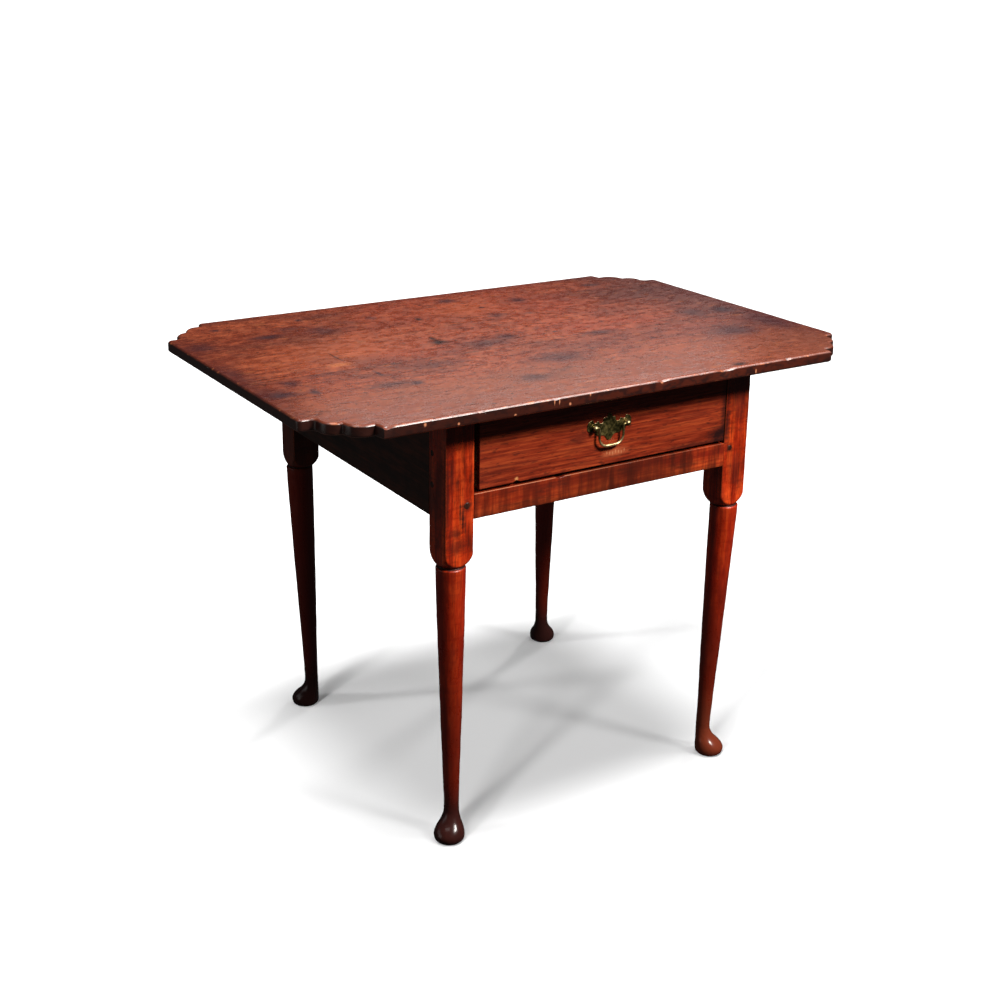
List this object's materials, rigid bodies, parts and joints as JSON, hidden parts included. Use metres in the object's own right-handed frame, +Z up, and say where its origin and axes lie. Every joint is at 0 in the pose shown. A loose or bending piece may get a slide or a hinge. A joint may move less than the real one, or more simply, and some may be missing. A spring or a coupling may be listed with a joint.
{
  "type": "tavern table",
  "caption": "Low four-legged wooden table with a scallop-cornered top, offset-turned tapering legs on pad feet, and a drawer with a brass bail pull.",
  "frame": {"origin": "on the floor under the middle of the top and frame", "axes": "+X along the long side of the top, +Y towards the back (the drawer is in front, on -Y), +Z up"},
  "size_m": [0.95, 0.636, 0.686],
  "materials": {
    "top_pine": "old stained pine, worn satin varnish, dark stains",
    "maple": "red-brown stained maple under glossy varnish",
    "apron_pine": "dark stained pine, dull varnish",
    "peg_wood": "dark end grain",
    "front_pine": "red-brown stained pine under satin varnish",
    "bare_pine": "unfinished pine, aged",
    "iron": "dark wrought iron",
    "brass": "cast brass, dulled, polished where handled"
  },
  "bodies": {
    "root": {"top_board_back": "top_pine", "top_board_front": "top_pine", "leg_front_left": "maple", "leg_front_right": "maple", "leg_back_left": "maple", "leg_back_right": "maple", "drawer_rail": "maple", "apron_left": "apron_pine", "apron_right": "apron_pine", "apron_back": "apron_pine", "drawer_rail_pegs": "peg_wood", "apron_left_pegs": "peg_wood", "apron_right_pegs": "peg_wood", "apron_back_pegs": "peg_wood", "drawer_runner_left": "bare_pine", "drawer_runner_right": "bare_pine", "drawer_guide_left": "bare_pine", "drawer_guide_right": "bare_pine", "glue_blocks_left": "bare_pine", "glue_blocks_right": "bare_pine", "runner_nails_left": "iron", "runner_nails_right": "iron", "guide_nails_left": "iron", "guide_nails_right": "iron"},
    "drawer": {"drawer_front": "front_pine", "drawer_side_left": "bare_pine", "drawer_side_right": "bare_pine", "drawer_back": "bare_pine", "drawer_bottom": "bare_pine", "drawer_bottom_nails": "iron", "pull_plate": "brass", "pull_post_left": "brass", "pull_post_right": "brass", "pull_nut_left": "brass", "pull_nut_right": "brass"},
    "bail": {"bail": "brass"}
  },
  "joints": [
    {"name": "drawer_slide", "type": "slide", "parent": "root", "child": "drawer", "axis": [0, -1, 0], "range_m": [0, 0.38]},
    {"name": "bail_hinge", "type": "hinge", "parent": "drawer", "child": "bail", "pos_m": [0.00325, -0.2765, 0.614], "axis": [-1, 0, 0], "range_deg": [-8, 188]}
  ]
}
